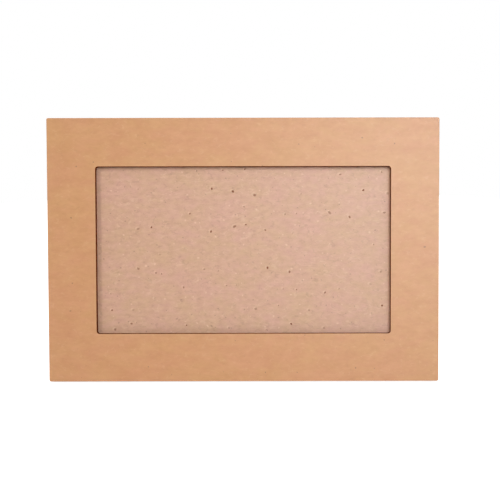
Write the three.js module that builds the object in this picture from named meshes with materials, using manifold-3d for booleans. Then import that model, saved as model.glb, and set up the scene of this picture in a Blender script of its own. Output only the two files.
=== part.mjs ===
// Cardboard frame for a 10 x 15 cm print, standing on the easel strut behind it.
// Millimetres, +Z up. The window looks along -Y, with +X to the viewer's right.

import * as THREE from "three";
import { mergeVertices } from "three/addons/utils/BufferGeometryUtils.js";
import Module from "manifold-3d";

// Print that slides in from above, and its room between the strips
const printLength = 152;
const printHeight = 102;
const printClearance = 1;

// Board round the print: the strips' widths, and the cover above the print
const sideStripWidth = 18;
const bottomStripWidth = 13;
const topCover = 13;

// Window and cut edges of the boards
const borderWidth = 23.5;
const outerCornerRadius = 0.8;
const windowCornerRadius = 1.2;
const edgeSoftening = 0.15;

// Layers, from the front to the back
const matThickness = 2;
const spacerThickness = 1;
const backingThickness = 2;
const glueLine = 0.2;
const stripJoint = 0.3;

// Easel strut: a tab glued to the backing, a scored fold and a leg that flares to the foot
const strutThickness = 1.6;
const strutWeb = 0.5;
const tabLength = 20;
const tabTopMargin = 9;
const foldWidth = 42;
const footWidth = 62;
const strutCornerRadius = 4;
const strutOpening = THREE.MathUtils.degToRad(31);

// Stance
const leanBack = THREE.MathUtils.degToRad(14);

// Smoothness of the rounded corners and the softened edges
const cornerSegments = 5;
const softeningSegments = 2;

// How far the solid that trims the strut's outline reaches past the card, front and back
const trimMargin = 1;

// Outline of the frame
const pocketWidth = printLength + 2 * printClearance;
const frameWidth = pocketWidth + 2 * sideStripWidth;
const frameHeight = bottomStripWidth + printHeight + topCover;

// Each layer's rear face, forward of the backing's rear face
const spacerRear = backingThickness + glueLine;
const matRear = spacerRear + spacerThickness + glueLine;

const wasm = await Module();
wasm.setup();

const kraftBoard = new THREE.MeshStandardMaterial({ color: 0xd7a07a, roughness: 0.85, metalness: 0 });
const recycledBoard = new THREE.MeshStandardMaterial({ color: 0xd8af94, roughness: 0.9, metalness: 0 });
const strutCard = new THREE.MeshStandardMaterial({ color: 0xc4986e, roughness: 0.88, metalness: 0 });

/** A closed path with one rounded corner at each point, listed anticlockwise. Inward corners are rounded too. */
function roundedPath(path, corners, radius) {
  corners.forEach((corner, index) => {
    const before = corners[(index + corners.length - 1) % corners.length];
    const after = corners[(index + 1) % corners.length];
    const back = before.clone().sub(corner).normalize();
    const ahead = after.clone().sub(corner).normalize();
    const halfAngle = back.angleTo(ahead) / 2;
    const start = corner.clone().addScaledVector(back, radius / Math.tan(halfAngle));
    const bisector = back.clone().add(ahead).normalize();
    const centre = corner.clone().addScaledVector(bisector, radius / Math.sin(halfAngle));
    const startAngle = start.clone().sub(centre).angle();
    const turn = Math.sign(ahead.cross(back));
    const sweep = turn * (Math.PI - 2 * halfAngle);
    if (index === 0) {
      path.moveTo(start.x, start.y);
    } else {
      path.lineTo(start.x, start.y);
    }
    path.absarc(centre.x, centre.y, radius, startAngle, startAngle + sweep, turn < 0);
  });
  path.closePath();
  return path;
}

/** The four corners of an upright rectangle, anticlockwise from the lower left. */
function rectangle(left, bottom, right, top) {
  return [
    new THREE.Vector2(left, bottom),
    new THREE.Vector2(right, bottom),
    new THREE.Vector2(right, top),
    new THREE.Vector2(left, top),
  ];
}

/** A board cut from the outline, with slightly softened cut edges and its rear face at the given depth. */
function cutBoard(outline, thickness, rear) {
  const geometry = new THREE.ExtrudeGeometry(outline, {
    depth: thickness - 2 * edgeSoftening,
    bevelEnabled: true,
    bevelThickness: edgeSoftening,
    bevelSize: edgeSoftening,
    bevelOffset: -edgeSoftening,
    bevelSegments: softeningSegments,
    curveSegments: cornerSegments,
  });
  geometry.translate(0, 0, rear + edgeSoftening);
  return geometry;
}

/** The closed mesh as a solid for a boolean. */
function toSolid(geometry) {
  const bare = geometry.clone();
  bare.deleteAttribute("normal");
  bare.deleteAttribute("uv");
  const merged = mergeVertices(bare, 1e-4);
  return new wasm.Manifold(new wasm.Mesh({
    numProp: 3,
    vertProperties: new Float32Array(merged.attributes.position.array),
    triVerts: new Uint32Array(merged.index.array),
  }));
}

/** The solid as a geometry again. */
function toGeometry(solid) {
  const mesh = solid.getMesh();
  const geometry = new THREE.BufferGeometry();
  geometry.setAttribute("position", new THREE.BufferAttribute(mesh.vertProperties, 3));
  geometry.setIndex(new THREE.BufferAttribute(mesh.triVerts, 1));
  geometry.computeVertexNormals();
  return geometry;
}

function makePart(name, geometry, material) {
  const mesh = new THREE.Mesh(geometry, material);
  mesh.name = name;
  return mesh;
}

// Front mat

function matOutline() {
  const halfWidth = frameWidth / 2;
  const outline = roundedPath(
    new THREE.Shape(),
    rectangle(-halfWidth, 0, halfWidth, frameHeight),
    outerCornerRadius,
  );
  const windowCorners = rectangle(
    borderWidth - halfWidth,
    borderWidth,
    halfWidth - borderWidth,
    frameHeight - borderWidth,
  );
  outline.holes.push(roundedPath(new THREE.Path(), windowCorners, windowCornerRadius));
  return outline;
}

// Backing board and the strips that hold the print between it and the mat

function backingOutline() {
  const halfWidth = frameWidth / 2;
  return roundedPath(new THREE.Shape(), rectangle(-halfWidth, 0, halfWidth, frameHeight), outerCornerRadius);
}

/** A side strip stands between the pocket and the frame's edge; side is -1 for the left and 1 for the right. */
function sideStripOutline(side) {
  const inner = pocketWidth / 2;
  const outer = frameWidth / 2;
  const ends = side < 0 ? [-outer, -inner] : [inner, outer];
  return roundedPath(new THREE.Shape(), rectangle(ends[0], 0, ends[1], frameHeight), outerCornerRadius);
}

/** The bottom strip lies between the side strips, and the print stands on it. */
function bottomStripOutline() {
  const reach = pocketWidth / 2 - stripJoint;
  return roundedPath(new THREE.Shape(), rectangle(-reach, 0, reach, bottomStripWidth), outerCornerRadius);
}

// Easel strut

/** A point of the strut's section: behind the backing's rear face, and up the frame. */
const sectionPoint = (behind, up) => new THREE.Vector2(behind, up);

/**
 * The strut's section, and where its parts lie. The card is cut from its front face down to the web, so the
 * leg swings back on the web and the cut opens in a V. The foot's front edge meets the floor.
 */
function strutSection() {
  const front = glueLine;
  const rear = glueLine + strutThickness;
  const tabTop = frameHeight - tabTopMargin;
  const fold = tabTop - tabLength;
  const cutDepth = strutThickness - strutWeb;
  const down = sectionPoint(Math.sin(strutOpening), -Math.cos(strutOpening));
  const forward = sectionPoint(-Math.cos(strutOpening), -Math.sin(strutOpening));
  const cutEnd = sectionPoint(front + cutDepth, fold);
  const legTop = cutEnd.clone().addScaledVector(forward, cutDepth);
  const crease = sectionPoint(rear, fold + strutWeb * Math.tan(strutOpening / 2));
  const heightOfLegTop = legTop.y * Math.cos(leanBack) - legTop.x * Math.sin(leanBack);
  const legLength = heightOfLegTop / Math.cos(strutOpening - leanBack);
  const footFront = legTop.clone().addScaledVector(down, legLength);
  const footRear = footFront.clone().addScaledVector(forward, -strutThickness);
  const points = [
    sectionPoint(front, fold),
    cutEnd,
    legTop,
    footFront,
    footRear,
    crease,
    sectionPoint(rear, tabTop),
    sectionPoint(front, tabTop),
  ];
  return { points, fold, tabTop, foot: footFront.y, behind: footRear.x };
}

/** The strut seen from behind: a tab as wide as the fold, and a leg that flares down to the foot. */
function strutOutline(fold, tabTop, foot) {
  const corners = [
    new THREE.Vector2(-footWidth / 2, foot),
    new THREE.Vector2(footWidth / 2, foot),
    new THREE.Vector2(foldWidth / 2, fold),
    new THREE.Vector2(foldWidth / 2, tabTop),
    new THREE.Vector2(-foldWidth / 2, tabTop),
    new THREE.Vector2(-foldWidth / 2, fold),
  ];
  return roundedPath(new THREE.Shape(), corners, strutCornerRadius);
}

/** The bent card, as wide as its foot, with its sides and corners trimmed to the outline. */
function easelStrut() {
  const { points, fold, tabTop, foot, behind } = strutSection();
  const card = new THREE.ExtrudeGeometry(new THREE.Shape(points), { depth: footWidth, bevelEnabled: false });
  card.rotateY(Math.PI / 2);
  card.translate(-footWidth / 2, 0, 0);
  const trim = new THREE.ExtrudeGeometry(strutOutline(fold, tabTop, foot), {
    depth: behind + 2 * trimMargin,
    bevelEnabled: false,
    curveSegments: cornerSegments,
  });
  trim.translate(0, 0, -behind - trimMargin);
  return toGeometry(toSolid(card).intersect(toSolid(trim)));
}

// Assembly: the boards are laid up flat, leaned back, and centred over the floor

const leaningBoards = new THREE.Group();
leaningBoards.rotation.x = Math.PI / 2 - leanBack;
leaningBoards.add(
  makePart("front_mat", cutBoard(matOutline(), matThickness, matRear), kraftBoard),
  makePart("spacer_left", cutBoard(sideStripOutline(-1), spacerThickness, spacerRear), recycledBoard),
  makePart("spacer_right", cutBoard(sideStripOutline(1), spacerThickness, spacerRear), recycledBoard),
  makePart("spacer_bottom", cutBoard(bottomStripOutline(), spacerThickness, spacerRear), recycledBoard),
  makePart("backing_board", cutBoard(backingOutline(), backingThickness, 0), recycledBoard),
  makePart("easel_strut", easelStrut(), strutCard),
);

const photoFrame = new THREE.Group();
photoFrame.add(leaningBoards);
photoFrame.updateMatrixWorld(true);
const reach = new THREE.Box3().setFromObject(leaningBoards, true);
leaningBoards.position.set(0, -(reach.min.y + reach.max.y) / 2, -reach.min.z);

export default photoFrame;
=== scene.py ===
"""Cardboard photo frame for a 10 x 15 cm print, standing on its card easel strut.

Every piece is drawn in board axes first: x to the viewer's right, y up the board and z out of its front,
with the origin at the middle of the backing's lower rear edge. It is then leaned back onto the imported
model's place.
"""

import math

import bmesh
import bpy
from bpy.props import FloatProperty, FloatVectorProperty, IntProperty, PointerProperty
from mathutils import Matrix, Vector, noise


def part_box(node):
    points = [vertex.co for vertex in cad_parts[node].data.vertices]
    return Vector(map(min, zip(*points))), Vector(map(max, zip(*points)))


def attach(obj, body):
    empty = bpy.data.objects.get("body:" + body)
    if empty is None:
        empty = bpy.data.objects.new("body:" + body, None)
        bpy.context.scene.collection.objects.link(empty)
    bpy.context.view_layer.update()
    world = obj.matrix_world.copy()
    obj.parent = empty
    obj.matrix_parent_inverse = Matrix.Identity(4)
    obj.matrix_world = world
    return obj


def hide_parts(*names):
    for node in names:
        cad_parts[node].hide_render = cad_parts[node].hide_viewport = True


bl_info = {
    "name": "Cardboard Photo Frame",
    "version": (1, 0, 0),
    "blender": (4, 5, 0),
    "location": "3D View > Sidebar > Photo Frame",
    "description": "Builds a kraft and chipboard photo frame with its studio",
    "category": "Object",
}

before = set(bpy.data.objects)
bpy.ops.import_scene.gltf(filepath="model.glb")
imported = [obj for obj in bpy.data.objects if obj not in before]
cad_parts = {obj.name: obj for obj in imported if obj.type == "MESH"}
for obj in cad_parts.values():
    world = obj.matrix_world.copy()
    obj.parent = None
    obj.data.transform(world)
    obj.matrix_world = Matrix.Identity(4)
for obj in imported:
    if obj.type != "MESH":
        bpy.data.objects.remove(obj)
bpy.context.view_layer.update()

MM = 0.001

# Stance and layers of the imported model
LEAN = math.radians(14)
STRUT_OPENING = math.radians(31)
CAD_SOFTENING = 0.15 * MM
MAT_THICKNESS = 2 * MM
SPACER_THICKNESS = 1 * MM
BACKING_THICKNESS = 2 * MM
GLUE_LINE = 0.2 * MM

# The boards' outlines and places, from their boxes in the frame
BACKING_LOW, BACKING_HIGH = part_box("backing_board")
STRIP_LOW, STRIP_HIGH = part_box("spacer_bottom")
LEFT_LOW, LEFT_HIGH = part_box("spacer_left")
FRAME_WIDTH = BACKING_HIGH.x - BACKING_LOW.x
SIDE_STRIP_WIDTH = LEFT_HIGH.x - LEFT_LOW.x
BOTTOM_STRIP_REACH = STRIP_HIGH.x


def board_height(low, high, thickness):
    """Height along the board of a leaning board whose box and thickness are known."""
    leaning_depth = (thickness - 2 * CAD_SOFTENING) * math.sin(LEAN)
    return (high.z - low.z - leaning_depth) / math.cos(LEAN)


FRAME_HEIGHT = board_height(BACKING_LOW, BACKING_HIGH, BACKING_THICKNESS)
BOTTOM_STRIP_WIDTH = board_height(STRIP_LOW, STRIP_HIGH, SPACER_THICKNESS)
BOARD_ORIGIN = Vector((
    0,
    BACKING_HIGH.y - (FRAME_HEIGHT - CAD_SOFTENING) * math.sin(LEAN),
    BACKING_LOW.z - CAD_SOFTENING * math.sin(LEAN),
))
BOARD_TURN = math.pi / 2 - LEAN
BOARD_TO_WORLD = Matrix.Translation(BOARD_ORIGIN) @ Matrix.Rotation(BOARD_TURN, 4, "X")
MAT_REAR = BACKING_THICKNESS + SPACER_THICKNESS + 2 * GLUE_LINE
MAT_FRONT = MAT_REAR + MAT_THICKNESS
FRONT_CENTRE = Vector((0, FRAME_HEIGHT / 2, MAT_FRONT))

# Glue fills the line between two boards but for this seam
GLUE_SEAM = 0.03 * MM

# A piece's finishes, in order: its liner, its cut wall, and the wall of its window, which is laser browned
# and darker still with painted shade of the window's recess
FACE, WALL, WINDOW_WALL = 0, 1, 2

# How strongly the fine streaks tint the two boards
KRAFT_STREAKS = 0.075
CHIPBOARD_STREAKS = 0.11

# Specular level of the smooth liners and of the strut's plain card
LINER_GLOSS = 0.75
STRUT_GLOSS = 0.2

# From the pale halo beside a large speck of the chipboard to the speck itself, in millimetres
HALO_TO_SPECK = (0.5, -0.35, 0.0)

# The strut's redder patches, against its plain colour
STRUT_WARMTH = (1.02, 0.9, 0.88)

# What a noise of 0 to 1 is centred on
NOISE_MIDDLE = 0.5
NOISE_CENTRE = (0.5, 0.5, 0.5)

# Fibres: how their noise is drawn out across the board, and how the noise that breaks them off differs
FIBRE_STRETCH = (0.6, 1.3, 1.3)
BREAKS_SHIFT = (31.0, 17.0, 0.0)
BREAKS_SCALE = 1.3

# The noise that a stretch of fibre needs to be kept if the share is 0, its change up to a share of 1,
# and how much more it takes until the stretch is at full strength
KEPT_AT_NO_SHARE = 0.75
KEPT_CHANGE = -0.45
KEPT_FADE = 0.07

# Specks: their grid is warped and their edges are ragged, by a noise and a reach in millimetres
WARP_PER_MM = 0.05
WARP_REACH = (8.0, 8.0, 0.0)
RAGGED_PER_MM = 1.4
RAGGED_REACH = (0.7, 0.5, 0.0)

# The smallest speck's share of the largest one's radius, and the shares of its own radius at which a speck
# begins to fade and is gone
SMALLEST_SPECK = 0.35
SPECK_FADES = 0.5
SPECK_GONE = 1.2

# Mottling: how its noise is drawn out across the board, and its two sizes of patch
PATCH_STRETCH = (0.6, 1.1, 1.1)
BROAD_SHARE = 0.6
SMALL_SHARE = 0.4
SMALL_PATCH_SCALE = 3.7

# A browned cut has streaks through the board's thickness and layers along it
THROUGH_BOARD = (1, 1, 0.08)
ALONG_LAYERS = (0.1, 0.1, 1)

# How the noise of the strut's plies is drawn out across the card
PLY_STRETCH = (0.35, 1.3, 1.3)

# Greys of the floor's fine grain
FLOOR_DARK = (0.86, 0.86, 0.86, 1)
FLOOR_PALE = (0.9, 0.9, 0.9, 1)

# Cut walls waver in fine ripples and broad waves: how many to the millimetre, and how much each counts
RIPPLES_PER_MM = 0.55
RIPPLE_SHARE = 0.3
WAVES_PER_MM = 0.09
WAVE_SHARE = 0.45

# A straight side is longer than this many steps, and a corner's facet is shorter
LONG_SIDE_STEPS = 5

# Walls are shaded smoothly across edges of less than this angle
SMOOTH_ANGLE = math.radians(35)

# A face is flat if this much of its normal points out of the board. On the mat's outline less is enough,
# up to the reach from its edge, so that its rounded edge keeps the liner
FLAT_NORMAL = 0.97
STRUT_FLAT_NORMAL = 0.99
ROUNDED_NORMAL = 0.3
OUTLINE_REACH = 1 * MM

# A point is on a wall if this much of its normal points along the board
WALL_NORMAL = 0.3

# A Mix node's sockets for colours
COLOUR_A, COLOUR_B, COLOUR_RESULT = 6, 7, 2

# Room that each node has in the editor
NODE_WIDTH = 220
NODE_HEIGHT = 260


class FrameSizes(bpy.types.PropertyGroup):
    """Sizes of the cut boards and of the folded strut."""

    border: FloatProperty(
        name="Border", description="Width of the mat round the window",
        default=23.5 * MM, unit="LENGTH",
    )
    window_corner: FloatProperty(
        name="Window corner", description="Radius of the window's corners",
        default=1.2 * MM, unit="LENGTH",
    )
    outer_corner: FloatProperty(
        name="Outer corner", description="Radius of the boards' outer corners",
        default=0.8 * MM, unit="LENGTH",
    )
    edge_rounding: FloatProperty(
        name="Edge rounding", description="How far the cut edges are rounded",
        default=0.15 * MM, unit="LENGTH",
    )
    cut_roughness: FloatProperty(
        name="Cut roughness", description="How far the cut walls waver into the board",
        default=0.05 * MM, unit="LENGTH",
    )
    cut_step: FloatProperty(
        name="Cut step", description="Distance between the ridges along a cut wall",
        default=0.8 * MM, unit="LENGTH",
    )
    corner_segments: IntProperty(
        name="Corner segments", description="Facets round each corner", default=6, min=2, max=16,
    )
    strut_thickness: FloatProperty(
        name="Strut thickness", description="Thickness of the strut's card",
        default=1.6 * MM, unit="LENGTH",
    )
    strut_web: FloatProperty(
        name="Strut web", description="Card left uncut at the strut's fold",
        default=0.5 * MM, unit="LENGTH",
    )
    tab_length: FloatProperty(
        name="Tab length", description="Height of the glued tab above the fold",
        default=20 * MM, unit="LENGTH",
    )
    tab_top_margin: FloatProperty(
        name="Tab top margin", description="Distance from the frame's top to the tab",
        default=9 * MM, unit="LENGTH",
    )
    fold_width: FloatProperty(
        name="Fold width", description="Width of the strut at its fold",
        default=42 * MM, unit="LENGTH",
    )
    foot_width: FloatProperty(
        name="Foot width", description="Width of the strut at the floor",
        default=62 * MM, unit="LENGTH",
    )
    strut_corner: FloatProperty(
        name="Strut corner", description="Radius of the strut's corners",
        default=4 * MM, unit="LENGTH",
    )


class FrameColours(bpy.types.PropertyGroup):
    """Colours of the boards."""

    kraft: FloatVectorProperty(
        name="Kraft", description="Brown kraft liner of the mat",
        subtype="COLOR", size=4, min=0, max=1, default=(0.582, 0.285, 0.111, 1),
    )
    kraft_warm: FloatVectorProperty(
        name="Warm kraft", description="Redder patches of the kraft liner",
        subtype="COLOR", size=4, min=0, max=1, default=(0.587, 0.268, 0.117, 1),
    )
    chipboard: FloatVectorProperty(
        name="Chipboard", description="Pinkish grey recycled board",
        subtype="COLOR", size=4, min=0, max=1, default=(0.61, 0.334, 0.238, 1),
    )
    chipboard_yellow: FloatVectorProperty(
        name="Yellower chipboard", description="Yellower patches of the recycled board",
        subtype="COLOR", size=4, min=0, max=1, default=(0.582, 0.342, 0.204, 1),
    )
    speck: FloatVectorProperty(
        name="Speck", description="Dark fibres, dust and small specks",
        subtype="COLOR", size=4, min=0, max=1, default=(0.08, 0.02, 0.003, 1),
    )
    large_speck: FloatVectorProperty(
        name="Large speck", description="Large brown specks in the recycled board",
        subtype="COLOR", size=4, min=0, max=1, default=(0.16, 0.028, 0.004, 1),
    )
    pale_fibre: FloatVectorProperty(
        name="Pale fibre", description="Pale fibres and flecks",
        subtype="COLOR", size=4, min=0, max=1, default=(0.82, 0.58, 0.39, 1),
    )
    # The window's cut wall is laser browned, and its two colours are also darkened past the outline cut's
    # as painted shade of the window's recess
    toasted_and_painted_shade: FloatVectorProperty(
        name="Toasted window", description="Window's cut edge, browned by the laser",
        subtype="COLOR", size=4, min=0, max=1, default=(0.1, 0.019, 0.003, 1),
    )
    toasted_light_and_painted_shade: FloatVectorProperty(
        name="Window streaks", description="Paler streaks of the window's cut edge",
        subtype="COLOR", size=4, min=0, max=1, default=(0.25, 0.058, 0.01, 1),
    )
    outline_cut: FloatVectorProperty(
        name="Outline cut", description="Browned cut edge round the boards",
        subtype="COLOR", size=4, min=0, max=1, default=(0.15, 0.062, 0.026, 1),
    )
    outline_cut_light: FloatVectorProperty(
        name="Outline streaks", description="Paler streaks of the boards' cut edge",
        subtype="COLOR", size=4, min=0, max=1, default=(0.36, 0.19, 0.1, 1),
    )
    strut_card: FloatVectorProperty(
        name="Strut card", description="Brown card of the easel strut",
        subtype="COLOR", size=4, min=0, max=1, default=(0.6, 0.31, 0.145, 1),
    )


class StudioSettings(bpy.types.PropertyGroup):
    """Camera, lamps and surroundings. Places are in board axes, from the middle of the front face."""

    camera_place: FloatVectorProperty(
        name="Camera", description="Where the camera stands",
        subtype="TRANSLATION", size=3, default=(20 * MM, 0, 300 * MM),
    )
    camera_target: FloatVectorProperty(
        name="Camera target", description="What the camera looks at",
        subtype="TRANSLATION", size=3, default=(20.07 * MM, -8.06 * MM, 0),
    )
    camera_roll: FloatProperty(
        name="Camera roll", description="How far the camera is turned about its view",
        subtype="ANGLE", default=math.radians(-0.123),
    )
    camera_lens: FloatProperty(
        name="Camera lens", description="Focal length in millimetres on a 36 mm sensor",
        default=44.47,
    )
    camera_shift: FloatVectorProperty(
        name="Camera shift", description="How far the picture is moved across and up, in sensor widths",
        size=2, default=(-0.0695, 0.0334),
    )
    key_power: FloatProperty(
        name="Key lamp", description="Power of the small lamp above right of the camera",
        default=0.98, unit="POWER",
    )
    front_power: FloatProperty(
        name="Front lamp", description="Power of the larger lamp beyond the key lamp",
        default=1.28, unit="POWER",
    )
    sheen_power: FloatProperty(
        name="Sheen lamp", description="Power of the lamp that is only mirrored, on the upper right",
        default=4.0, unit="POWER",
    )
    side_power: FloatProperty(
        name="Side lamp", description="Power of the soft lamp far up on the left",
        default=2.9, unit="POWER",
    )
    back_power: FloatProperty(
        name="Back lamp", description="Power of the large lamp behind and above the frame",
        default=2.4, unit="POWER",
    )
    room_light: FloatProperty(
        name="Room light", description="Strength of the light from all round",
        default=0.19,
    )
    floor_radius: FloatProperty(
        name="Floor radius", description="Radius of the round floor",
        default=600 * MM, unit="LENGTH",
    )
    floor_lift: FloatProperty(
        name="Floor lift", description="How far the floor is brightened for the camera",
        default=0.78,
    )


# Node helpers


def feed(tree, socket, value):
    """Links the value into the socket if another node makes it, and otherwise sets it there."""
    if isinstance(value, bpy.types.NodeSocket):
        tree.links.new(value, socket)
    else:
        socket.default_value = value


def add_node(tree, kind, inputs=None, **settings):
    """Adds a node. Its settings are attributes, and its inputs are values or the sockets that feed them."""
    node = tree.nodes.new(kind)
    for name, value in settings.items():
        setattr(node, name, value)
    for key, value in (inputs or {}).items():
        feed(tree, node.inputs[key], value)
    return node


def math_value(tree, operation, first, second=0.0, third=0.0, clamp=False):
    """One sum on two numbers, or on three for MULTIPLY_ADD."""
    inputs = {0: first, 1: second, 2: third}
    return add_node(tree, "ShaderNodeMath", inputs, operation=operation, use_clamp=clamp).outputs[0]


def vector_value(tree, operation, first, second):
    """One sum on two vectors."""
    node = add_node(tree, "ShaderNodeVectorMath", {0: first, 1: second}, operation=operation)
    return node.outputs[0]


def mix_colours(tree, share, first, second):
    """The first colour, turning into the second as the share goes from 0 to 1."""
    inputs = {"Factor": share, COLOUR_A: first, COLOUR_B: second}
    return add_node(tree, "ShaderNodeMix", inputs, data_type="RGBA").outputs[COLOUR_RESULT]


def tinted(tree, colour, mask, strength, tint):
    """The colour, turned towards the tint by the strength where the mask is 1."""
    return mix_colours(tree, math_value(tree, "MULTIPLY", mask, strength), colour, tint)


def between(tree, value, low, high):
    """A value of 0 to 1, brought to between low and high."""
    inputs = {"Value": value, "To Min": low, "To Max": high}
    return add_node(tree, "ShaderNodeMapRange", inputs).outputs["Result"]


def smooth_step(tree, value, start, end):
    """0 where the value is at start, 1 where it is at end, and a smooth curve between them."""
    inputs = {"Value": value, "From Min": start, "From Max": end}
    node = add_node(tree, "ShaderNodeMapRange", inputs, interpolation_type="SMOOTHSTEP")
    return node.outputs["Result"]


def noise_value(tree, position, scale, detail=3.0, roughness=0.55):
    """Soft noise of about 0 to 1."""
    inputs = {"Vector": position, "Scale": scale, "Detail": detail, "Roughness": roughness}
    return add_node(tree, "ShaderNodeTexNoise", inputs).outputs[0]


def start_group(name, inputs, outputs):
    """A new node group with its sockets. Gives back its tree, its inputs and its output node."""
    tree = bpy.data.node_groups.new(name, "ShaderNodeTree")
    for label, kind, default in inputs:
        socket = tree.interface.new_socket(label, in_out="INPUT", socket_type=kind)
        if default is not None:
            socket.default_value = default
    for label, kind in outputs:
        tree.interface.new_socket(label, in_out="OUTPUT", socket_type=kind)
    entry = tree.nodes.new("NodeGroupInput")
    result = tree.nodes.new("NodeGroupOutput")
    return tree, entry.outputs, result


def place_group(tree, group, **inputs):
    """Places a node group and gives back its outputs."""
    return add_node(tree, "ShaderNodeGroup", inputs, node_tree=group).outputs


def arrange(tree):
    """Lays the nodes out in columns, from the inputs on the left to the output on the right."""
    column = {node: 0 for node in tree.nodes}
    for _ in tree.nodes:
        for link in tree.links:
            column[link.to_node] = max(column[link.to_node], column[link.from_node] + 1)
    filled = {}
    for node in tree.nodes:
        row = filled.get(column[node], 0)
        node.location = (column[node] * NODE_WIDTH, -row * NODE_HEIGHT)
        filled[column[node]] = row + 1


# Shared effects of paper and board


def moved_by_offset(tree, given):
    """The position moved across and up by the offset, so that no two effects share their places."""
    offset = add_node(tree, "ShaderNodeCombineXYZ", {0: given["Offset"], 1: given["Offset"]})
    return vector_value(tree, "ADD", given["Position"], offset.outputs[0])


def fibres_group():
    """Curled fibres, longer across the board than up it and broken into short lengths."""
    tree, given, result = start_group(
        "Paper Fibres",
        [
            ("Position", "NodeSocketVector", None),
            ("Curl", "NodeSocketFloat", 3.0),
            ("Thickness", "NodeSocketFloat", 0.03),
            ("Share", "NodeSocketFloat", 0.5),
            ("Offset", "NodeSocketFloat", 0.0),
        ],
        [("Mask", "NodeSocketFloat")],
    )
    moved = moved_by_offset(tree, given)
    per_mm = math_value(tree, "DIVIDE", 1.0, given["Curl"])
    flattened = vector_value(tree, "MULTIPLY", moved, FIBRE_STRETCH)
    # A fibre runs wherever the noise passes its middle
    level = noise_value(tree, flattened, per_mm, detail=1.5)
    away = math_value(tree, "ABSOLUTE", math_value(tree, "SUBTRACT", level, NOISE_MIDDLE))
    body = smooth_step(tree, away, start=given["Thickness"], end=0.0)
    shifted = vector_value(tree, "ADD", moved, BREAKS_SHIFT)
    breaks = noise_value(tree, shifted, math_value(tree, "MULTIPLY", per_mm, BREAKS_SCALE), detail=1.0)
    least = math_value(tree, "MULTIPLY_ADD", given["Share"], KEPT_CHANGE, KEPT_AT_NO_SHARE)
    kept = smooth_step(tree, breaks, start=least, end=math_value(tree, "ADD", least, KEPT_FADE))
    tree.links.new(math_value(tree, "MULTIPLY", body, kept), result.inputs["Mask"])
    arrange(tree)
    return tree


def specks_group():
    """Uneven specks of different sizes, strewn apart from each other."""
    tree, given, result = start_group(
        "Specks",
        [
            ("Position", "NodeSocketVector", None),
            ("Spacing", "NodeSocketFloat", 8.0),
            ("Radius", "NodeSocketFloat", 0.6),
            ("Amount", "NodeSocketFloat", 0.4),
            ("Offset", "NodeSocketFloat", 0.0),
        ],
        [("Mask", "NodeSocketFloat"), ("Tone", "NodeSocketFloat")],
    )
    place = moved_by_offset(tree, given)
    strewn = add_node(tree, "ShaderNodeTexNoise", {"Vector": place, "Scale": WARP_PER_MM, "Detail": 0.0})
    broad = vector_value(tree, "SUBTRACT", strewn.outputs["Color"], NOISE_CENTRE)
    broad = vector_value(tree, "MULTIPLY", broad, WARP_REACH)
    ragged = add_node(tree, "ShaderNodeTexNoise", {"Vector": place, "Scale": RAGGED_PER_MM, "Detail": 2.0})
    edge = vector_value(tree, "SUBTRACT", ragged.outputs["Color"], NOISE_CENTRE)
    edge = vector_value(tree, "MULTIPLY", edge, RAGGED_REACH)
    moved = vector_value(tree, "ADD", vector_value(tree, "ADD", place, broad), edge)
    per_mm = math_value(tree, "DIVIDE", 1.0, given["Spacing"])
    cells = add_node(
        tree, "ShaderNodeTexVoronoi", {"Vector": moved, "Scale": per_mm}, voronoi_dimensions="2D",
    )
    # Each cell of the grid has three chance numbers: for its speck's size, for having one, and for its tone
    chance = add_node(tree, "ShaderNodeSeparateColor", {0: cells.outputs["Color"]})
    away = math_value(tree, "MULTIPLY", cells.outputs["Distance"], given["Spacing"])
    share = between(tree, chance.outputs[0], low=SMALLEST_SPECK, high=1.0)
    radius = math_value(tree, "MULTIPLY", share, given["Radius"])
    relative = math_value(tree, "DIVIDE", away, radius)
    body = smooth_step(tree, relative, start=SPECK_GONE, end=SPECK_FADES)
    chosen = math_value(tree, "LESS_THAN", chance.outputs[1], given["Amount"])
    mask = math_value(tree, "MULTIPLY", body, chosen)
    tree.links.new(mask, result.inputs["Mask"])
    tree.links.new(chance.outputs[2], result.inputs["Tone"])
    arrange(tree)
    return tree


def mottling_group():
    """Cloudy patches at two sizes, longer across the board than up it and centred on 0.5."""
    tree, given, result = start_group(
        "Mottling",
        [
            ("Position", "NodeSocketVector", None),
            ("Size", "NodeSocketFloat", 8.0),
            ("Contrast", "NodeSocketFloat", 1.0),
        ],
        [("Value", "NodeSocketFloat")],
    )
    per_mm = math_value(tree, "DIVIDE", 1.0, given["Size"])
    small_per_mm = math_value(tree, "MULTIPLY", per_mm, SMALL_PATCH_SCALE)
    flattened = vector_value(tree, "MULTIPLY", given["Position"], PATCH_STRETCH)
    broad = noise_value(tree, flattened, per_mm, detail=2.0)
    small = noise_value(tree, flattened, small_per_mm, detail=3.0)
    broad_part = math_value(tree, "MULTIPLY", broad, BROAD_SHARE)
    both = math_value(tree, "MULTIPLY_ADD", small, SMALL_SHARE, broad_part)
    centred = math_value(tree, "SUBTRACT", both, NOISE_MIDDLE)
    stretched = math_value(tree, "MULTIPLY", centred, given["Contrast"])
    value = math_value(tree, "ADD", stretched, NOISE_MIDDLE, clamp=True)
    tree.links.new(value, result.inputs["Value"])
    arrange(tree)
    return tree


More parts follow.
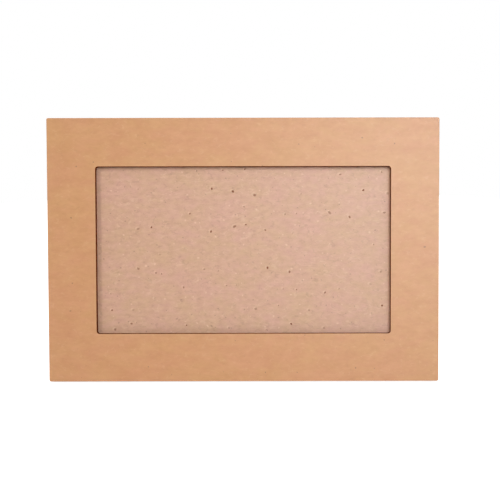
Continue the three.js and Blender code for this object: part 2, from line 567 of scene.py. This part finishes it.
def toast_group():
    """A laser cut's browned wall: streaks through the board's thickness, crossed by its layers."""
    tree, given, result = start_group(
        "Toasted Cut",
        [
            ("Position", "NodeSocketVector", None),
            ("Dark", "NodeSocketColor", (0.1, 0.04, 0.02, 1)),
            ("Light", "NodeSocketColor", (0.2, 0.1, 0.05, 1)),
        ],
        [("Colour", "NodeSocketColor"), ("Height", "NodeSocketFloat")],
    )
    through = vector_value(tree, "MULTIPLY", given["Position"], THROUGH_BOARD)
    streaks = noise_value(tree, through, scale=1.8, detail=4.0, roughness=0.7)
    along = vector_value(tree, "MULTIPLY", given["Position"], ALONG_LAYERS)
    layers = noise_value(tree, along, scale=3.2, detail=2.0)
    both = math_value(tree, "MULTIPLY", streaks, layers)
    share = smooth_step(tree, both, start=0.18, end=0.42)
    tree.links.new(mix_colours(tree, share, given["Dark"], given["Light"]), result.inputs["Colour"])
    tree.links.new(both, result.inputs["Height"])
    arrange(tree)
    return tree


# Materials


def start_material(name):
    """Makes a material and gives back its tree, its shader and each point's place on the board.

    The place is in board axes and in millimetres.
    """
    material = bpy.data.materials.new(name)
    material.use_nodes = True
    tree = material.node_tree
    tree.nodes.clear()
    output = tree.nodes.new("ShaderNodeOutputMaterial")
    shader = tree.nodes.new("ShaderNodeBsdfPrincipled")
    tree.links.new(shader.outputs[0], output.inputs["Surface"])
    place = tree.nodes.new("ShaderNodeTexCoord").outputs["Object"]
    inputs = {
        "Vector": place,
        "Location": BOARD_ORIGIN,
        "Rotation": (BOARD_TURN, 0, 0),
        "Scale": (MM, MM, MM),
    }
    position = add_node(tree, "ShaderNodeMapping", inputs, vector_type="TEXTURE").outputs[0]
    return tree, shader, position


def bump_into(tree, shader, height, distance):
    """Feeds a height of 0 to 1, as deep as the distance in metres, into the shader's normal."""
    node = add_node(tree, "ShaderNodeBump", {"Height": height, "Distance": distance, "Strength": 1.0})
    tree.links.new(node.outputs[0], shader.inputs["Normal"])


def kraft_material(groups, colours, name, base, warm, gloss):
    """Kraft paper: soft cloudy patches, faint curled fibres and a few small specks."""
    tree, shader, position = start_material(name)
    clouds = place_group(tree, groups["mottling"], Position=position, Size=13.0, Contrast=4.5)
    streaks = place_group(tree, groups["mottling"], Position=position, Size=5.5, Contrast=3.4)
    pale_fibres = place_group(
        tree, groups["fibres"], Position=position, Curl=3.4, Thickness=0.035, Share=0.5, Offset=3.0,
    )
    dark_fibres = place_group(
        tree, groups["fibres"], Position=position, Curl=2.6, Thickness=0.03, Share=0.5, Offset=71.0,
    )
    specks = place_group(
        tree, groups["specks"], Position=position, Spacing=14.0, Radius=0.42, Amount=0.4, Offset=11.0,
    )
    colour = mix_colours(tree, clouds["Value"], base, warm)
    tones = mix_colours(tree, streaks["Value"], colours.speck, colours.pale_fibre)
    colour = mix_colours(tree, KRAFT_STREAKS, colour, tones)
    colour = tinted(tree, colour, pale_fibres["Mask"], strength=0.1, tint=colours.pale_fibre)
    colour = tinted(tree, colour, dark_fibres["Mask"], strength=0.06, tint=colours.speck)
    colour = tinted(tree, colour, specks["Mask"], strength=0.5, tint=colours.speck)
    tree.links.new(colour, shader.inputs["Base Color"])
    grain = noise_value(tree, position, scale=2.6, detail=4.0)
    tree.links.new(between(tree, grain, low=0.5, high=0.6), shader.inputs["Roughness"])
    shader.inputs["Specular IOR Level"].default_value = gloss
    raised = math_value(tree, "MULTIPLY_ADD", pale_fibres["Mask"], 0.4, grain)
    bump_into(tree, shader, raised, distance=0.012 * MM)
    arrange(tree)


def chipboard_material(groups, colours):
    """Recycled board: greyish pink with brown specks, pale flecks and curled fibres in both tones."""
    tree, shader, position = start_material("recycled_chipboard")
    clouds = place_group(tree, groups["mottling"], Position=position, Size=11.0, Contrast=4.0)
    streaks = place_group(tree, groups["mottling"], Position=position, Size=2.0, Contrast=3.4)
    pale_fibres = place_group(
        tree, groups["fibres"], Position=position, Curl=4.2, Thickness=0.036, Share=0.55, Offset=5.0,
    )
    dark_fibres = place_group(
        tree, groups["fibres"], Position=position, Curl=3.6, Thickness=0.036, Share=0.55, Offset=43.0,
    )
    large_specks = {"Spacing": 9.5, "Amount": 0.4, "Offset": 4.0}
    specks = place_group(tree, groups["specks"], Position=position, Radius=0.72, **large_specks)
    beside_specks = vector_value(tree, "ADD", position, HALO_TO_SPECK)
    halos = place_group(tree, groups["specks"], Position=beside_specks, Radius=1.0, **large_specks)
    dust = place_group(
        tree, groups["specks"], Position=position, Spacing=4.2, Radius=0.38, Amount=0.3, Offset=57.0,
    )
    flecks = place_group(
        tree, groups["specks"], Position=position, Spacing=5.0, Radius=0.55, Amount=0.3, Offset=23.0,
    )
    colour = mix_colours(tree, clouds["Value"], colours.chipboard, colours.chipboard_yellow)
    tones = mix_colours(tree, streaks["Value"], colours.speck, colours.pale_fibre)
    colour = mix_colours(tree, CHIPBOARD_STREAKS, colour, tones)
    colour = tinted(tree, colour, pale_fibres["Mask"], strength=0.2, tint=colours.pale_fibre)
    colour = tinted(tree, colour, dark_fibres["Mask"], strength=0.14, tint=colours.speck)
    colour = tinted(tree, colour, flecks["Mask"], strength=0.45, tint=colours.pale_fibre)
    colour = tinted(tree, colour, halos["Mask"], strength=0.3, tint=colours.pale_fibre)
    colour = tinted(tree, colour, dust["Mask"], strength=0.4, tint=colours.speck)
    strength = between(tree, specks["Tone"], low=0.3, high=1.0)
    dots = math_value(tree, "MULTIPLY", specks["Mask"], strength)
    colour = mix_colours(tree, dots, colour, colours.large_speck)
    tree.links.new(colour, shader.inputs["Base Color"])
    grain = noise_value(tree, position, scale=1.9, detail=5.0)
    # The large specks are matte: rougher than the board, and with no gloss
    rough = math_value(tree, "MAXIMUM", between(tree, grain, low=0.52, high=0.62), dots)
    tree.links.new(rough, shader.inputs["Roughness"])
    gloss = between(tree, dots, low=LINER_GLOSS, high=0.0)
    tree.links.new(gloss, shader.inputs["Specular IOR Level"])
    raised = math_value(tree, "MULTIPLY_ADD", pale_fibres["Mask"], 0.9, grain)
    bump_into(tree, shader, raised, distance=0.04 * MM)
    arrange(tree)


def cut_material(groups, name, dark, light):
    """The browned wall of a laser cut, without gloss."""
    tree, shader, position = start_material(name)
    toast = place_group(tree, groups["toast"], Position=position, Dark=dark, Light=light)
    tree.links.new(toast["Colour"], shader.inputs["Base Color"])
    tree.links.new(between(tree, toast["Height"], low=0.85, high=1.0), shader.inputs["Roughness"])
    shader.inputs["Specular IOR Level"].default_value = 0.0
    bump_into(tree, shader, toast["Height"], distance=0.06 * MM)
    arrange(tree)


def card_edge_material(groups, colours):
    """The knife-cut edge of the strut: grey-brown plies of pressed fibre."""
    tree, shader, position = start_material("card_plies")
    plies = vector_value(tree, "MULTIPLY", position, PLY_STRETCH)
    layer = noise_value(tree, plies, scale=2.4, detail=4.0, roughness=0.65)
    clouds = place_group(tree, groups["mottling"], Position=position, Size=3.0, Contrast=1.5)
    colour = mix_colours(tree, layer, colours.strut_card, colours.pale_fibre)
    colour = tinted(tree, colour, clouds["Value"], strength=0.25, tint=colours.speck)
    tree.links.new(colour, shader.inputs["Base Color"])
    tree.links.new(between(tree, layer, low=0.8, high=0.96), shader.inputs["Roughness"])
    bump_into(tree, shader, layer, distance=0.08 * MM)
    arrange(tree)


def make_materials(colours):
    """Every finish of the frame, by name."""
    groups = {
        "fibres": fibres_group(),
        "specks": specks_group(),
        "mottling": mottling_group(),
        "toast": toast_group(),
    }
    strut_warm = [part * warmth for part, warmth in zip(colours.strut_card, STRUT_WARMTH)] + [1]
    kraft_material(groups, colours, "kraft_liner", colours.kraft, colours.kraft_warm, LINER_GLOSS)
    kraft_material(groups, colours, "strut_liner", colours.strut_card, strut_warm, STRUT_GLOSS)
    chipboard_material(groups, colours)
    # The window's cut: laser browning with painted shade of its recess in both colours
    cut_material(groups, "toasted_window_and_painted_shade", colours.toasted_and_painted_shade, colours.toasted_light_and_painted_shade)
    cut_material(groups, "browned_outline", colours.outline_cut, colours.outline_cut_light)
    card_edge_material(groups, colours)


# Mesh helpers


def rounded_loop(bm, left, bottom, right, top, radius, segments):
    """A flat upright rectangle with round corners."""
    corners = [
        bm.verts.new((left, bottom, 0)),
        bm.verts.new((right, bottom, 0)),
        bm.verts.new((right, top, 0)),
        bm.verts.new((left, top, 0)),
    ]
    bm.faces.new(corners)
    bmesh.ops.bevel(
        bm, geom=corners, offset=radius, offset_type="OFFSET", segments=segments, profile=0.5,
        affect="VERTICES", clamp_overlap=True, material=-1,
    )


def long_edges(bm, upright, least_length):
    """The straight sides that run up the board, or across it."""
    picked = []
    for edge in bm.edges:
        run = edge.verts[1].co - edge.verts[0].co
        if edge.calc_length() > least_length and (abs(run.y) > abs(run.x)) == upright:
            picked.append(edge)
    return picked


def divide_sides(bm, width, height, step):
    """Divides the straight sides evenly, with as many parts on the window as on the outline."""
    for upright, length in ((False, width), (True, height)):
        cuts = round(length / step) - 1
        bmesh.ops.subdivide_edges(bm, edges=long_edges(bm, upright, LONG_SIDE_STEPS * step), cuts=cuts)


def thicken(bm, rear, front):
    """Turns a flat shape at height 0 into a board between two depths."""
    made = bmesh.ops.extrude_face_region(bm, geom=bm.faces[:])
    lifted = [v for v in made["geom"] if isinstance(v, bmesh.types.BMVert)]
    bmesh.ops.translate(bm, verts=lifted, vec=(0, 0, front - rear))
    bmesh.ops.translate(bm, verts=bm.verts, vec=(0, 0, rear))
    bmesh.ops.recalc_face_normals(bm, faces=bm.faces)


def round_sharp_edges(bm, offset, least_angle=math.radians(50), segments=2):
    """Rounds every edge that is sharper than the least angle."""
    sharp = [e for e in bm.edges if e.is_manifold and e.calc_face_angle(0) > least_angle]
    bmesh.ops.bevel(
        bm, geom=sharp, offset=offset, offset_type="OFFSET", segments=segments, profile=0.5,
        affect="EDGES", clamp_overlap=True, material=-1,
    )


def waver_walls(bm, depth):
    """Moves the cut walls a little into the board, by the same amount through its thickness."""
    bm.normal_update()
    for vert in bm.verts:
        outward = Vector((vert.normal.x, vert.normal.y, 0))
        if outward.length > WALL_NORMAL:
            place = Vector((vert.co.x, vert.co.y, 0)) / MM
            ripples = RIPPLE_SHARE * noise.noise(place * RIPPLES_PER_MM)
            waves = WAVE_SHARE * noise.noise(place * WAVES_PER_MM)
            into = min(max(0.5 + ripples + waves, 0), 1)
            vert.co -= outward.normalized() * depth * into


def finish_piece(bm, name, node, materials, material_of):
    """Gives the faces their materials, leans the piece into its place and hands it to the frame."""
    bmesh.ops.recalc_face_normals(bm, faces=bm.faces)
    loose = [e for e in bm.edges if not e.is_manifold]
    if loose:
        raise RuntimeError(f"{name} is not closed: {len(loose)} open edges")
    bm.normal_update()
    for face in bm.faces:
        face.material_index = material_of(face)
    bmesh.ops.transform(bm, matrix=BOARD_TO_WORLD, verts=bm.verts)
    mesh = bpy.data.meshes.new(name)
    bm.to_mesh(mesh)
    bm.free()
    # Marking the sharp edges makes every face smooth, so the flat faces are set after it
    mesh.set_sharp_from_angle(angle=SMOOTH_ANGLE)
    for face in mesh.polygons:
        face.use_smooth = face.material_index != FACE
    for material in materials:
        mesh.materials.append(bpy.data.materials[material])
    piece = bpy.data.objects.new(name, mesh)
    bpy.context.scene.collection.objects.link(piece)
    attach(piece, "root")
    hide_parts(node)


def face_or_wall(face):
    """A board's flat faces have its liner, and its cut walls and their rounded edges are browned."""
    return FACE if abs(face.normal.z) > FLAT_NORMAL else WALL


def face_wall_or_window(outline):
    """As face_or_wall, but the outline's rounded edge has the liner and the window its own finish, browned
    and darkened with painted shade of the recess.
    """
    left, bottom, right, top = outline

    def pick(face):
        centre = face.calc_center_median()
        margin = min(centre.x - left, right - centre.x, centre.y - bottom, top - centre.y)
        if margin > OUTLINE_REACH:
            return FACE if abs(face.normal.z) > FLAT_NORMAL else WINDOW_WALL
        return FACE if abs(face.normal.z) > ROUNDED_NORMAL else WALL

    return pick


# Pieces


class PHOTOFRAME_OT_materials(bpy.types.Operator):
    """Make the kraft, chipboard, browned cut and strut card materials"""

    bl_idname = "photoframe.materials"
    bl_label = "Make Materials"

    def execute(self, context):
        make_materials(context.scene.photo_frame_colours)
        return {"FINISHED"}


class PHOTOFRAME_OT_front_mat(bpy.types.Operator):
    """Cut the front mat with its window"""

    bl_idname = "photoframe.front_mat"
    bl_label = "Cut Front Mat"

    def execute(self, context):
        sizes = context.scene.photo_frame_sizes
        half_width = FRAME_WIDTH / 2
        outline = (-half_width, 0, half_width, FRAME_HEIGHT)
        window = (
            sizes.border - half_width,
            sizes.border,
            half_width - sizes.border,
            FRAME_HEIGHT - sizes.border,
        )
        bm = bmesh.new()
        rounded_loop(bm, *outline, sizes.outer_corner, sizes.corner_segments)
        rounded_loop(bm, *window, sizes.window_corner, sizes.corner_segments)
        bmesh.ops.delete(bm, geom=bm.faces[:], context="FACES_ONLY")
        divide_sides(bm, window[2] - window[0], window[3] - window[1], sizes.cut_step)
        bmesh.ops.bridge_loops(bm, edges=bm.edges[:])
        thicken(bm, MAT_REAR, MAT_FRONT)
        round_sharp_edges(bm, sizes.edge_rounding)
        waver_walls(bm, sizes.cut_roughness)
        # The window's wall takes the browned cut with painted shade of the recess
        finishes = ["kraft_liner", "browned_outline", "toasted_window_and_painted_shade"]
        finish_piece(
            bm, "kraft_mat", "front_mat", finishes, face_wall_or_window(outline),
        )
        return {"FINISHED"}


def cut_plain_board(sizes, name, node, outline, rear, front):
    """A board of recycled chipboard with round corners and no window."""
    bm = bmesh.new()
    rounded_loop(bm, *outline, sizes.outer_corner, sizes.corner_segments)
    bmesh.ops.delete(bm, geom=bm.faces[:], context="FACES_ONLY")
    divide_sides(bm, outline[2] - outline[0], outline[3] - outline[1], sizes.cut_step)
    bmesh.ops.edgeloop_fill(bm, edges=bm.edges[:])
    thicken(bm, rear, front)
    round_sharp_edges(bm, sizes.edge_rounding)
    waver_walls(bm, sizes.cut_roughness)
    finish_piece(
        bm, name, node, ["recycled_chipboard", "browned_outline"], face_or_wall,
    )


class PHOTOFRAME_OT_backing(bpy.types.Operator):
    """Cut the speckled backing board"""

    bl_idname = "photoframe.backing"
    bl_label = "Cut Backing Board"

    def execute(self, context):
        sizes = context.scene.photo_frame_sizes
        outline = (-FRAME_WIDTH / 2, 0, FRAME_WIDTH / 2, FRAME_HEIGHT)
        cut_plain_board(sizes, "chipboard_backing", "backing_board", outline, 0, BACKING_THICKNESS)
        return {"FINISHED"}


class PHOTOFRAME_OT_strips(bpy.types.Operator):
    """Cut the three strips that leave a slot for the print"""

    bl_idname = "photoframe.strips"
    bl_label = "Cut Spacer Strips"

    def execute(self, context):
        sizes = context.scene.photo_frame_sizes
        outer = FRAME_WIDTH / 2
        inner = outer - SIDE_STRIP_WIDTH
        rear = BACKING_THICKNESS + GLUE_SEAM
        front = MAT_REAR - GLUE_SEAM
        bottom = (-BOTTOM_STRIP_REACH, 0, BOTTOM_STRIP_REACH, BOTTOM_STRIP_WIDTH)
        strips = {
            "left_strip": ("spacer_left", (-outer, 0, -inner, FRAME_HEIGHT)),
            "right_strip": ("spacer_right", (inner, 0, outer, FRAME_HEIGHT)),
            "bottom_strip": ("spacer_bottom", bottom),
        }
        for name, (node, outline) in strips.items():
            cut_plain_board(sizes, name, node, outline, rear, front)
        return {"FINISHED"}


class PHOTOFRAME_OT_strut(bpy.types.Operator):
    """Fold the easel strut: a glued tab, a scored fold and a leg that flares to the floor"""

    bl_idname = "photoframe.strut"
    bl_label = "Fold Easel Strut"

    def execute(self, context):
        sizes = context.scene.photo_frame_sizes
        tab_top = FRAME_HEIGHT - sizes.tab_top_margin
        fold = tab_top - sizes.tab_length
        section, foot = strut_section(sizes, tab_top, fold)
        bm = bmesh.new()
        # The card is drawn with a width of 1, and then gets its own width at each height
        corners = [bm.verts.new((-0.5, point.y, -point.x)) for point in section]
        side = bm.faces.new(corners)
        made = bmesh.ops.extrude_face_region(bm, geom=[side])
        far_side = [v for v in made["geom"] if isinstance(v, bmesh.types.BMVert)]
        bmesh.ops.translate(bm, verts=far_side, vec=(1, 0, 0))
        for vert in bm.verts:
            share = min(max((fold - vert.co.y) / (fold - foot), 0), 1)
            vert.co.x *= sizes.fold_width + (sizes.foot_width - sizes.fold_width) * share
        bmesh.ops.recalc_face_normals(bm, faces=bm.faces)
        round_strut_corners(bm, sizes, tab_top, foot)
        round_sharp_edges(bm, sizes.edge_rounding, least_angle=math.radians(40))
        finishes = ["strut_liner", "card_plies"]
        finish_piece(bm, "card_strut", "easel_strut", finishes, strut_face_or_ply)
        return {"FINISHED"}


def strut_section(sizes, tab_top, fold):
    """The bent card's section, as points behind the backing and up the board, and its foot's height."""
    front = GLUE_LINE
    rear = GLUE_LINE + sizes.strut_thickness
    cut_depth = sizes.strut_thickness - sizes.strut_web
    down = Vector((math.sin(STRUT_OPENING), -math.cos(STRUT_OPENING)))
    forward = Vector((-math.cos(STRUT_OPENING), -math.sin(STRUT_OPENING)))
    cut_end = Vector((front + cut_depth, fold))
    leg_top = cut_end + forward * cut_depth
    height = leg_top.y * math.cos(LEAN) - leg_top.x * math.sin(LEAN)
    foot_front = leg_top + down * height / math.cos(STRUT_OPENING - LEAN)
    foot_rear = foot_front - forward * sizes.strut_thickness
    crease = Vector((rear, fold + sizes.strut_web * math.tan(STRUT_OPENING / 2)))
    points = [
        Vector((GLUE_SEAM, fold)),
        cut_end,
        leg_top,
        foot_front,
        foot_rear,
        crease,
        Vector((rear, tab_top)),
        Vector((GLUE_SEAM, tab_top)),
    ]
    return points, foot_front.y


def round_strut_corners(bm, sizes, tab_top, foot):
    """Rounds the corners of the tab's top and of the foot, through the card."""
    picked = []
    for edge in bm.edges:
        first, second = edge.verts
        through = abs(first.co.x - second.co.x) < sizes.strut_thickness
        at_top = min(first.co.y, second.co.y) > tab_top - MM
        at_foot = max(first.co.y, second.co.y) < foot + 2 * sizes.strut_thickness
        if through and (at_top or at_foot):
            picked.append(edge)
    bmesh.ops.bevel(
        bm, geom=picked, offset=sizes.strut_corner, offset_type="OFFSET", segments=8, profile=0.5,
        affect="EDGES", clamp_overlap=True, material=-1,
    )


def strut_face_or_ply(face):
    """The card's two sides have its liner, and the rest shows its plies."""
    leg_normal = Vector((0, math.sin(STRUT_OPENING), math.cos(STRUT_OPENING)))
    on_tab = abs(face.normal.z) > STRUT_FLAT_NORMAL
    on_leg = abs(face.normal.dot(leg_normal)) > STRUT_FLAT_NORMAL
    return FACE if on_tab or on_leg else WALL


# Studio


def from_front(place):
    """A place given in board axes, from the middle of the front face."""
    return BOARD_TO_WORLD @ (FRONT_CENTRE + Vector(place))


def seen_directly(tree):
    """1 for the camera's rays and mirrored ones, and 0 for the rays that carry light to the object."""
    rays = tree.nodes.new("ShaderNodeLightPath").outputs
    return math_value(tree, "MAXIMUM", rays["Is Camera Ray"], rays["Is Glossy Ray"])


def floor_material(lift):
    """A pale floor that is white to the camera but for the object's shadow."""
    material = bpy.data.materials.new("studio_floor")
    material.use_nodes = True
    tree = material.node_tree
    tree.nodes.clear()
    output = tree.nodes.new("ShaderNodeOutputMaterial")
    grain = noise_value(tree, tree.nodes.new("ShaderNodeTexCoord").outputs["Object"], scale=40.0)
    colour = mix_colours(tree, grain, FLOOR_DARK, FLOOR_PALE)
    matte = add_node(tree, "ShaderNodeBsdfDiffuse", {"Color": colour})
    strength = math_value(tree, "MULTIPLY", seen_directly(tree), lift)
    glow = add_node(tree, "ShaderNodeEmission", {"Color": (1, 1, 1, 1), "Strength": strength})
    both = add_node(tree, "ShaderNodeAddShader", {0: matte.outputs[0], 1: glow.outputs[0]})
    tree.links.new(both.outputs[0], output.inputs["Surface"])
    arrange(tree)
    return material


def lay_floor(radius, lift):
    """Lays the round floor."""
    bm = bmesh.new()
    bmesh.ops.create_circle(bm, cap_ends=True, radius=radius, segments=96)
    mesh = bpy.data.meshes.new("studio_floor")
    bm.to_mesh(mesh)
    bm.free()
    mesh.materials.append(floor_material(lift))
    floor = bpy.data.objects.new("studio_floor", mesh)
    bpy.context.scene.collection.objects.link(floor)


def white_to_camera(world, room_light):
    """A world that is white where it is seen and gives an even, dimmer light."""
    world.use_nodes = True
    tree = world.node_tree
    tree.nodes.clear()
    output = tree.nodes.new("ShaderNodeOutputWorld")
    strength = math_value(tree, "MULTIPLY_ADD", seen_directly(tree), 1 - room_light, room_light)
    background = add_node(tree, "ShaderNodeBackground", {"Color": (1, 1, 1, 1), "Strength": strength})
    tree.links.new(background.outputs[0], output.inputs["Surface"])
    arrange(tree)


def soft_lamp(name, place, size, power, only_mirrored=False):
    """A square lamp that faces the frame and isn't seen, with its place and size in millimetres.

    It lights the boards without being mirrored in them, or is only mirrored in them.
    """
    data = bpy.data.lights.new(name, "AREA")
    data.shape = "SQUARE"
    data.size = size * MM
    data.energy = power
    lamp = bpy.data.objects.new(name, data)
    lamp.location = from_front(Vector(place) * MM)
    ahead = from_front((0, 0, 0)) - lamp.location
    lamp.rotation_euler = ahead.to_track_quat("-Z", "Y").to_euler()
    lamp.visible_camera = False
    lamp.visible_diffuse = not only_mirrored
    lamp.visible_glossy = only_mirrored
    bpy.context.scene.collection.objects.link(lamp)


class PHOTOFRAME_OT_studio(bpy.types.Operator):
    """Set up the floor, lamps, surroundings and camera"""

    bl_idname = "photoframe.studio"
    bl_label = "Set Up Studio"

    def execute(self, context):
        scene = context.scene
        studio = scene.photo_frame_studio
        lay_floor(studio.floor_radius, studio.floor_lift)
        scene.world = bpy.data.worlds.new("studio_world")
        white_to_camera(scene.world, studio.room_light)
        soft_lamp("key_lamp", place=(105, 95, 600), size=120, power=studio.key_power)
        soft_lamp("front_lamp", place=(170, 210, 700), size=250, power=studio.front_power)
        soft_lamp(
            "sheen_lamp", place=(225, 150, 600), size=260, power=studio.sheen_power, only_mirrored=True,
        )
        soft_lamp("side_lamp", place=(-500, 450, 900), size=300, power=studio.side_power)
        soft_lamp("back_lamp", place=(100, 350, -500), size=500, power=studio.back_power)
        place_camera(scene, studio)
        scene.view_settings.view_transform = "Standard"
        return {"FINISHED"}


def place_camera(scene, studio):
    """Stands the camera in front of the window and turns it slightly about its view."""
    eye = from_front(studio.camera_place)
    ahead = (from_front(studio.camera_target) - eye).normalized()
    level_right = ahead.cross(BOARD_TO_WORLD.col[1].to_3d()).normalized()
    level_up = level_right.cross(ahead)
    cosine = math.cos(studio.camera_roll)
    sine = math.sin(studio.camera_roll)
    right = level_right * cosine + level_up * sine
    up = level_up * cosine - level_right * sine
    data = bpy.data.cameras.new("camera")
    data.lens = studio.camera_lens
    data.sensor_width = 36
    data.shift_x, data.shift_y = studio.camera_shift
    data.clip_start = 10 * MM
    data.clip_end = 50
    camera = bpy.data.objects.new("camera", data)
    axes = Matrix((right, up, -ahead)).transposed()
    camera.matrix_world = Matrix.Translation(eye) @ axes.to_4x4()
    scene.collection.objects.link(camera)
    scene.camera = camera


# Panel and registration


class PHOTOFRAME_PT_panel(bpy.types.Panel):
    """Lists the steps that build the frame, with its sizes, colours and studio"""

    bl_label = "Photo Frame"
    bl_idname = "PHOTOFRAME_PT_panel"
    bl_space_type = "VIEW_3D"
    bl_region_type = "UI"
    bl_category = "Photo Frame"

    def draw(self, context):
        column = self.layout.column(align=True)
        for step in STEPS:
            column.operator(step.bl_idname)
        for settings in ("photo_frame_sizes", "photo_frame_colours", "photo_frame_studio"):
            group = getattr(context.scene, settings)
            box = self.layout.box()
            for name in group.bl_rna.properties.keys():
                if name not in ("rna_type", "name"):
                    box.prop(group, name)


STEPS = (
    PHOTOFRAME_OT_materials,
    PHOTOFRAME_OT_backing,
    PHOTOFRAME_OT_strips,
    PHOTOFRAME_OT_front_mat,
    PHOTOFRAME_OT_strut,
    PHOTOFRAME_OT_studio,
)
CLASSES = (FrameSizes, FrameColours, StudioSettings, *STEPS, PHOTOFRAME_PT_panel)


def register():
    for item in CLASSES:
        bpy.utils.register_class(item)
    bpy.types.Scene.photo_frame_sizes = PointerProperty(type=FrameSizes)
    bpy.types.Scene.photo_frame_colours = PointerProperty(type=FrameColours)
    bpy.types.Scene.photo_frame_studio = PointerProperty(type=StudioSettings)


def unregister():
    del bpy.types.Scene.photo_frame_studio
    del bpy.types.Scene.photo_frame_colours
    del bpy.types.Scene.photo_frame_sizes
    for item in reversed(CLASSES):
        bpy.utils.unregister_class(item)


def main():
    register()
    bpy.ops.photoframe.materials()
    bpy.ops.photoframe.backing()
    bpy.ops.photoframe.strips()
    bpy.ops.photoframe.front_mat()
    bpy.ops.photoframe.strut()
    bpy.ops.photoframe.studio()


if __name__ == "__main__":
    main()
